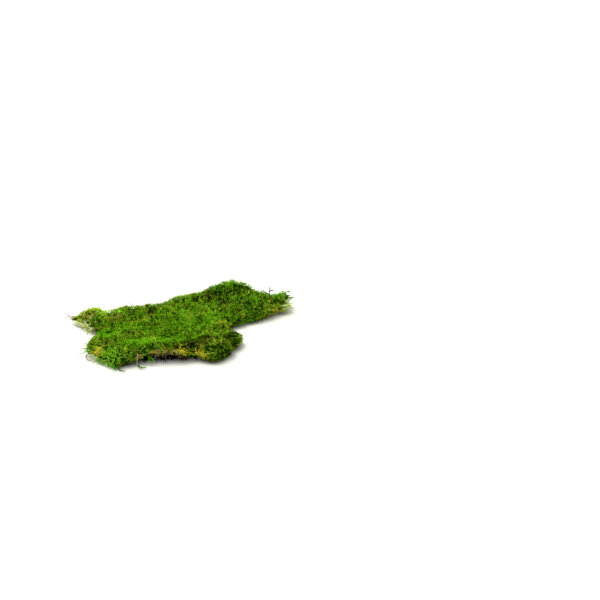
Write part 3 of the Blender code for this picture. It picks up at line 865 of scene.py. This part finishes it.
def dress_bed(mesh):
    """Gives each place of the bed the lean, size and colours of its shoots, and returns their share."""
    points = places_of(mesh)
    normals = vectors_of(mesh.vertex_normals, "vector")
    up = np.array([0, 0, 1.0])
    outwards = unit(normals * (1, 1, 0) + 1e-6)
    lean = waved(LEAN_OUT * normals + LEAN_UP * up, points, LEAN_WAVES)
    hanging = patch_field(points, HANGING)[:, None] * ramp(normals[:, 2:], *NOT_LEVEL)
    down = waved(DROOP * outwards - DROOP * up, points, DROOP_WAVES)
    lean = (1 - hanging) * unit(lean) + hanging * unit(down)
    crease = patch_field(points, CREASES)
    set_field(mesh, "lean", unit(lean), "FLOAT_VECTOR")
    growth = waved(1, points, GROWTH_WAVES)[:, 0] - RIM_SHORTER * ramp(normals[:, 2], *LOW_RIM)
    set_field(mesh, "growth", growth * (1 - CREASE_SHORTER * crease))
    for name, field in colour_fields(points, normals).items():
        set_field(mesh, name, field)
    return ramp(normals[:, 2], *SHOOTS_STAND) * (1 - CREASE_BARER * crease)


def dress_thatch(mesh):
    """Dead stems lie along the thatch, in all directions."""
    points = places_of(mesh)
    normals = vectors_of(mesh.vertex_normals, "vector")
    lean = waved(STEM_LEAN_OUT * normals, points, STEM_LEAN_WAVES)
    set_field(mesh, "lean", unit(lean), "FLOAT_VECTOR")
    shown = (normals[:, 2] < STEMS_HIDDEN) * (points[:, 0] > THATCH_START * MM)
    set_field(mesh, "cover", np.maximum(ramp(normals[:, 2], *STEMS_LIE), STEMS_LEAST) * shown)
    set_field(mesh, "growth", np.ones(len(points)))
    set_field(mesh, "patchy", waved(STEM_LIGHT, points, STEM_LIGHT_WAVES)[:, 0])


# ---- lines


def smooth_route(points, step):
    """Points every `step` millimetres along a rounded way through the given ones."""
    given = np.array(points, float) + PLAN_SHIFT
    ends = np.vstack([2 * given[0] - given[1], given, 2 * given[-1] - given[-2]])
    route = []
    for before, start, end, after in zip(ends, ends[1:], ends[2:], ends[3:]):
        count = max(2, int(np.linalg.norm(end - start) / step))
        for t in np.linspace(0, 1, count, endpoint=False):
            bend = 2 * start + (end - before) * t
            bend = bend + (2 * before - 5 * start + 4 * end - after) * t * t
            route.append((bend + (3 * start - before - 3 * end + after) * t**3) / 2)
    route.append(given[-1])
    return np.array(route) * MM


def lines_mesh(name, routes, fields=None):
    """One mesh of open lines; `fields` has a value a route for each name."""
    mesh = bpy.data.meshes.new(name)
    edges = []
    start = 0
    for route in routes:
        edges += [(start + i, start + i + 1) for i in range(len(route) - 1)]
        start += len(route)
    mesh.from_pydata(np.vstack(routes), edges, [])
    for field, values in (fields or {}).items():
        set_field(mesh, field, np.repeat(values, [len(route) for route in routes]))
    return mesh


def bent_line(length, bend):
    """A line of that length that starts upright and turns over by `bend` degrees."""
    at = np.zeros(3)
    points = [at]
    for i in range(SHOOT_STEPS):
        angle = math.radians(bend) * ((i + 0.5) / SHOOT_STEPS) ** BEND_DELAY
        at = at + np.array((math.sin(angle), 0, math.cos(angle))) * length * MM / SHOOT_STEPS
        points.append(at)
    return np.array(points)


def wandering_routes(form):
    """Lines that run over the form's surface, turning as they go."""
    tree = BVHTree.FromBMesh(form)
    areas = np.array([face.calc_area() * max(face.normal.z + STRAND_FACING, 0) for face in form.faces])
    starts = RANDOM.choice(len(areas), size=STRAND_COUNT, p=areas / areas.sum())
    routes = []
    form.faces.ensure_lookup_table()
    for start in starts:
        face = form.faces[start]
        at = face.calc_center_median()
        normal = face.normal.copy()
        heading = RANDOM.uniform(0, math.tau)
        turning = RANDOM.normal(0, STRAND_TURNING)
        rise = RANDOM.uniform(*STRAND_RISES) * MM
        steps = int(RANDOM.uniform(*STRAND_LENGTHS) / STRAND_STEP)
        route = []
        for step in range(steps):
            heading += turning + RANDOM.normal(0, STRAND_WAVER)
            ahead = Vector((math.cos(heading), math.sin(heading), 0))
            ahead = (ahead - normal * ahead.dot(normal)).normalized()
            at, normal, _, _ = tree.find_nearest(at + ahead * STRAND_STEP * MM)
            share = step / steps
            arch = rise * math.sin(math.pi * min(1.0, share * STRAND_ARCH_PACE + STRAND_ARCH_START))
            tip = (share - STRAND_TIP) * STRAND_TIP_RISE * MM * (share > STRAND_TIP)
            route.append(at + normal * (arch + tip - STRAND_SUNK * MM))
        routes.append(np.array([tuple(point) for point in route]))
    return routes


# ---- pieces


def add_object(name, mesh):
    made = bpy.data.objects.new(name, mesh)
    bpy.context.scene.collection.objects.link(made)
    return made


def map_cells(mesh, rings):
    """A map in which each shoot of that many rings of three corners has a cell of its own."""
    corners = 3 * rings
    count = len(mesh.vertices) // corners
    loops = np.empty(len(mesh.loops), int)
    mesh.loops.foreach_get("vertex_index", loops)
    starts = np.empty(len(mesh.polygons), int)
    mesh.polygons.foreach_get("loop_start", starts)
    sizes = np.diff(np.append(starts, len(loops)))
    owner, corner = np.divmod(loops, corners)
    ring, side = np.divmod(corner, 3)
    closing = (sizes == 4) & (np.add.reduceat(side == 1, starts, dtype=int) == 0)
    cap = np.repeat(sizes == 3, sizes)
    across = np.where(np.repeat(closing, sizes) & (side == 0), 3.0, side)
    across = np.where(cap, 1.5 * side, across)
    along = ring + 1.0
    along += np.where(cap & (side == 1), np.where(ring == 0, -1, 1), 0)
    columns = math.ceil(math.sqrt(count * rings / 3))
    rows = math.ceil(count / columns)
    u = (owner % columns + CELL_MARGIN + (1 - 2 * CELL_MARGIN) * across / 3) / columns
    v = (owner // columns + CELL_MARGIN + (1 - 2 * CELL_MARGIN) * along / (rings + 1)) / rows
    cells = mesh.uv_layers.new(name="OFBake")
    cells.uv.foreach_set("vector", np.column_stack([u, v]).ravel())


def add_piece(name, mesh, replaced, slot, material=None, whorls=None):
    """A bed is given its material here. Shoots have theirs, and get a map by their whorls."""
    if material is not None:
        mesh.materials.append(material)
    if whorls is not None:
        map_cells(mesh, 2 * whorls + 1)
    for spare in SPARE_FIELDS:
        if spare in mesh.attributes:
            mesh.attributes.remove(mesh.attributes[spare])
    mesh.name = name
    piece = add_object(name, mesh)
    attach(piece, "root")
    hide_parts(replaced)


def grown(tree, lines, values):
    """The mesh that the shoot tree makes of a mesh of lines."""
    carrier = add_object("lines", lines)
    mesh = mesh_from_tree(carrier, tree, values)
    bpy.data.objects.remove(carrier)
    return mesh


def add_strands(name, routes, fields, look, tree, material, replaced, slot):
    """A piece with a shoot along each route."""
    mesh = grown(tree, lines_mesh(name + "_lines", routes, fields), {**look, "Material": material})
    add_piece(name, mesh, replaced, slot, whorls=look["Whorls"])


def shoot_kinds(name, tree, values):
    """The few kinds of shoot that the moss repeats."""
    kinds = bpy.data.collections.new(name)
    for i, (length, bend) in enumerate(zip(SHOOT_LENGTHS, SHOOT_BENDS)):
        line = lines_mesh(f"{name}_line_{i}", [bent_line(length, bend)])
        kinds.objects.link(bpy.data.objects.new(f"{name}_{i}", grown(tree, line, values)))
    bpy.context.scene.collection.children.link(kinds)
    return kinds


def remove_kinds(kinds):
    for helper in list(kinds.objects):
        bpy.data.objects.remove(helper)
    bpy.data.collections.remove(kinds)


def make_carpet(shoot_tree, stand_tree, form, moss, tangle):
    mesh = sunken_bed("green_carpet", BED_DEPTH, BED_SHARE, "moss_bed")
    cover = dress_bed(mesh)
    carrier = add_object("bed", mesh)
    across = places_of(mesh)[:, 0] / MM
    kinds = shoot_kinds("shoot_kinds", shoot_tree, {})
    for i, (name, start, end) in enumerate(zip(REACHES, CUTS, CUTS[1:])):
        set_field(mesh, "cover", cover * ((across >= start) & (across < end)))
        values = {"Kinds": kinds, "Form": form, "Seed": 10 + 20 * i, "Material": moss}
        shoots = mesh_from_tree(carrier, stand_tree, values)
        add_piece(name + "_shoots", shoots, *CARPET, whorls=SHOOT_WHORLS)
    remove_kinds(kinds)
    bpy.data.objects.remove(carrier)
    add_piece("moss_bed", mesh, *CARPET, tangle)


def single_draws(count):
    """How light each strand is, and its chance for a colour."""
    return {"shade": RANDOM.uniform(0.3, 1.0, count), "hue": RANDOM.uniform(0, 1, count)}


def make_strands(shoot_tree, form, moss):
    routes = wandering_routes(form)
    starts = np.array([route[0] for route in routes])
    fields = colour_fields(starts, np.tile((0, 0, 1.0), (len(starts), 1)))
    fields.update(single_draws(len(routes)))
    add_strands("wandering_strands", routes, fields, STRAND, shoot_tree, moss, *CARPET)


def edge_strands(form, rows):
    """The routes of each row's short strands, from the form's surface, and each one's colour or light."""
    tree = BVHTree.FromBMesh(form)
    routes = []
    marks = []
    for start, end, way, scatter, count, lengths, mark in rows:
        for _ in range(count):
            foot = np.array(start) + (np.array(end) - start) * RANDOM.uniform(0, 1)
            foot = foot + RANDOM.normal(0, EDGE_SCATTER, 3)
            near = tree.find_nearest(Vector((foot + PLAN_SHIFT) * MM))
            foot = np.array(near[0] - near[1] * EDGE_SUNK * MM) / MM - PLAN_SHIFT
            ahead = np.array(way) + RANDOM.normal(0, scatter, 3)
            length = RANDOM.uniform(*lengths)
            sideways = np.cross(ahead, RANDOM.normal(0, 1, 3)) * RANDOM.uniform(*EDGE_SIDEWAYS)
            middle = foot + ahead * length * 0.5 + sideways
            points = (foot, middle, foot + ahead * length + sideways * EDGE_BEND_LEFT)
            routes.append(smooth_route([(x, y, max(z, EDGE_LOWEST)) for x, y, z in points], EDGE_STEP))
            marks.append(mark)
    return routes, marks


def make_fringes(shoot_tree, form, moss):
    routes, colours = edge_strands(form, FRINGES)
    routes += [smooth_route(points, EDGE_STEP) for _, points in WISPS]
    colours += [colour for colour, _ in WISPS]
    fields = {name: [SURE_STRENGTH * (name == colour) for colour in colours] for name in PATCHES}
    fields.update(single_draws(len(routes)))
    fields["patchy"] = 0.5 * lift_and_painted_light_field(np.array([route[0] for route in routes]))
    add_strands("edge_fringe", routes, fields, FRINGE, shoot_tree, moss, *CARPET)


def make_roots(shoot_tree, form, dead):
    routes, light = edge_strands(form, ROOTS_AND_PAINTED_SHADE)
    chances = RANDOM.uniform(0, 1, len(routes))
    fields = {"patchy": light, "shade": chances, "hue": np.where(np.array(light) < 0, 0, 1 - chances)}
    add_strands("rim_roots", routes, fields, ROOT, shoot_tree, dead, *THATCH)


def make_thatch(shoot_tree, stand_tree, dead, tangle):
    mesh = sunken_bed("brown_thatch", THATCH_BED_DEPTH, THATCH_BED_SHARE, "thatch_bed")
    dress_thatch(mesh)
    form, form_object = solid_form("brown_thatch")
    make_roots(shoot_tree, form, dead)
    form.free()
    carrier = add_object("bed", mesh)
    kinds = shoot_kinds("stem_kinds", shoot_tree, LYING_STEM)
    values = {"Kinds": kinds, "Form": form_object, "Material": dead}
    stems = mesh_from_tree(carrier, stand_tree, {**values, **LYING_STEMS})
    add_piece("thatch_stems", stems, *THATCH, whorls=SHOOT_WHORLS)
    remove_kinds(kinds)
    bpy.data.objects.remove(carrier)
    bpy.data.objects.remove(form_object)
    add_piece("thatch_bed", mesh, *THATCH, tangle)


def add_stray(name, solid, kind, pale, width, ways, shoot_tree, materials):
    """A shoot or stem that stands clear, with leaves or bare."""
    routes = [smooth_route(way, STRAY_STEP) for way in ways]
    length = np.linalg.norm(np.diff(routes[0], axis=0), axis=1).sum() / MM
    fields = {"shade": 0.5, "hue": pale, "patchy": PALE_LIGHT * pale}
    if kind in TONES:
        fields[kind] = SURE_STRENGTH
    fields = {field: [value] * len(routes) for field, value in fields.items()}
    reach, stem, tip = BARE_STRAY if kind == "bare" else LEAFY_STRAY
    look = {
        "Whorls": round(length / STRAY_WHORL_LENGTH),
        "Leaf Reach": reach * width * MM,
        "Stem Width": stem * width * MM,
        "Bare Foot": LEAVES_FROM_FOOT,
        "Tip Share": tip,
        "Taper": STRAY_TAPER,
    }
    slot = "stem_straw" if solid in BARE_SOLIDS else "shoot_olive"
    material = materials.get(kind, materials["moss"])
    add_strands(name, routes, fields, look, shoot_tree, material, solid, slot)


def make_strays(shoot_tree, materials):
    for name, *looks in STRAYS:
        add_stray(name + "_strand", name, *looks, shoot_tree, materials)
    add_stray("hanging_stem_sprig", "hanging_stem", *STEM_SPRIG, shoot_tree, materials)


def make_floor():
    sides = ((-1, -1), (1, -1), (1, 1), (-1, 1))
    corners = [(x * FLOOR_HALF * MM, y * FLOOR_HALF * MM, FLOOR_LEVEL * MM) for x, y in sides]
    mesh = bpy.data.meshes.new("floor")
    mesh.from_pydata(corners, [], [(0, 1, 2, 3)])
    material, _, shader = plain_material("floor_white", roughness=1.0)
    shader["Base Color"].default_value = FLOOR_COLOUR
    mesh.materials.append(material)
    add_object("floor", mesh)


def make_lights():
    world = bpy.data.worlds.new("studio")
    bpy.context.scene.world = world
    world.use_nodes = True
    tree = world.node_tree
    sky = tree.nodes["Background"].inputs
    sky["Color"].default_value = (1, 1, 1, 1)
    # Soft light that is strongest from straight above. Beyond the floor the camera sees plain white.
    way = out(tree, "ShaderNodeTexCoord", key="Generated")
    above = maths(tree, "MAXIMUM", out(tree, "ShaderNodeSeparateXYZ", {0: way}, "Z"), 0.0)
    above = maths(tree, "POWER", above, DOME_POWER)
    dome = maths(tree, "MULTIPLY_ADD", above, DOME_TOP_LIGHT, DOME_EDGE_LIGHT)
    seen = out(tree, "ShaderNodeLightPath", key="Is Camera Ray")
    feed(tree, sky["Strength"], maths(tree, "MAXIMUM", seen, dome))
    key = bpy.data.lights.new("key", "SUN")
    key.energy = KEY_LIGHT
    key.angle = math.radians(KEY_SOFTNESS)
    lamp = add_object("key", key)
    lamp.rotation_euler = Vector(KEY_WAY).to_track_quat("-Z", "Y").to_euler()


def make_camera():
    data = bpy.data.cameras.new("camera")
    data.lens = PHOTO_LENS
    camera = add_object("camera", data)
    angle = math.radians(PHOTO_ELEVATION)
    back = Vector((0, -math.cos(angle), math.sin(angle)))
    camera.location = Vector(PHOTO_CENTRE) * MM + back * PHOTO_DISTANCE * MM
    camera.rotation_euler = (-back).to_track_quat("-Z", "Y").to_euler()
    bpy.context.scene.camera = camera


def main():
    bpy.context.scene.view_settings.view_transform = "Standard"
    tone = shoot_tone_group()
    moss = living_moss(tone)
    tangle = tangle_material("shaded_tangle", *GREEN_SHADE)
    brown_tangle = tangle_material("brown_tangle", *BROWN_SHADE)
    dead = dead_stems(tone)
    leafy = stray_material("stray_leafy", tone, *LEAFY_COLOURS)
    bare = stray_material("straw_stem", tone, *BARE_COLOURS)
    shoot_tree = leafy_shoot_tree()
    stand_tree = standing_shoots_tree()

    form, form_object = solid_form("green_carpet")
    make_carpet(shoot_tree, stand_tree, form_object, moss, tangle)
    make_strands(shoot_tree, form, moss)
    make_fringes(shoot_tree, form, moss)
    form.free()
    bpy.data.objects.remove(form_object)
    make_thatch(shoot_tree, stand_tree, dead, brown_tangle)
    make_strays(shoot_tree, {"leafy": leafy, "bare": bare, "moss": moss})
    make_floor()
    make_lights()
    make_camera()


main()
